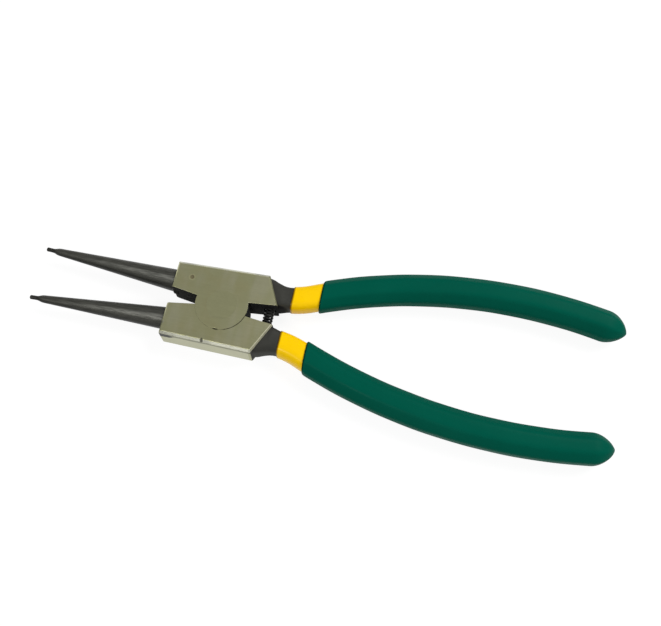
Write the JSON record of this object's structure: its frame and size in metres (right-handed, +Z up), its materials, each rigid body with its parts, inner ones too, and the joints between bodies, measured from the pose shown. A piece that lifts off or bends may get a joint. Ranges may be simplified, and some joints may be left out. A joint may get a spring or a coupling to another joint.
{
  "type": "circlip pliers",
  "caption": "External circlip pliers with straight conical tips, a riveted half-lap pivot, a return spring and two-coat dipped grips. Squeezing the handles spreads the tips.",
  "frame": {"origin": "on the pivot axis, in the plane of the head's ground underside", "axes": "+X from the pivot to the handles, +Y towards the upper lever, +Z up along the pivot axis out of the head's top face"},
  "size_m": [0.1802, 0.0524, 0.0095],
  "materials": {
    "forged_steel": "ground satin head, black oxide tips, inner faces and necks",
    "rivet_steel": "ground flush with the head",
    "spring_steel": "black oxide wire",
    "yellow_vinyl": "smooth satin dip coat",
    "green_vinyl": "smooth satin dip coat"
  },
  "bodies": {
    "lower_half": {"lower_lever": "forged_steel", "pivot_rivet": "rivet_steel", "return_spring": "spring_steel", "lower_first_coat": "yellow_vinyl", "lower_grip": "green_vinyl"},
    "upper_half": {"upper_lever": "forged_steel", "upper_first_coat": "yellow_vinyl", "upper_grip": "green_vinyl"}
  },
  "joints": [
    {"name": "pivot", "type": "hinge", "parent": "lower_half", "child": "upper_half", "pos_m": [0, 0, 0.00475], "axis": [0, 0, -1], "range_deg": [-14, 13.6], "stiffness_Nm_per_rad": 4.9, "deforming": ["return_spring"]}
  ]
}
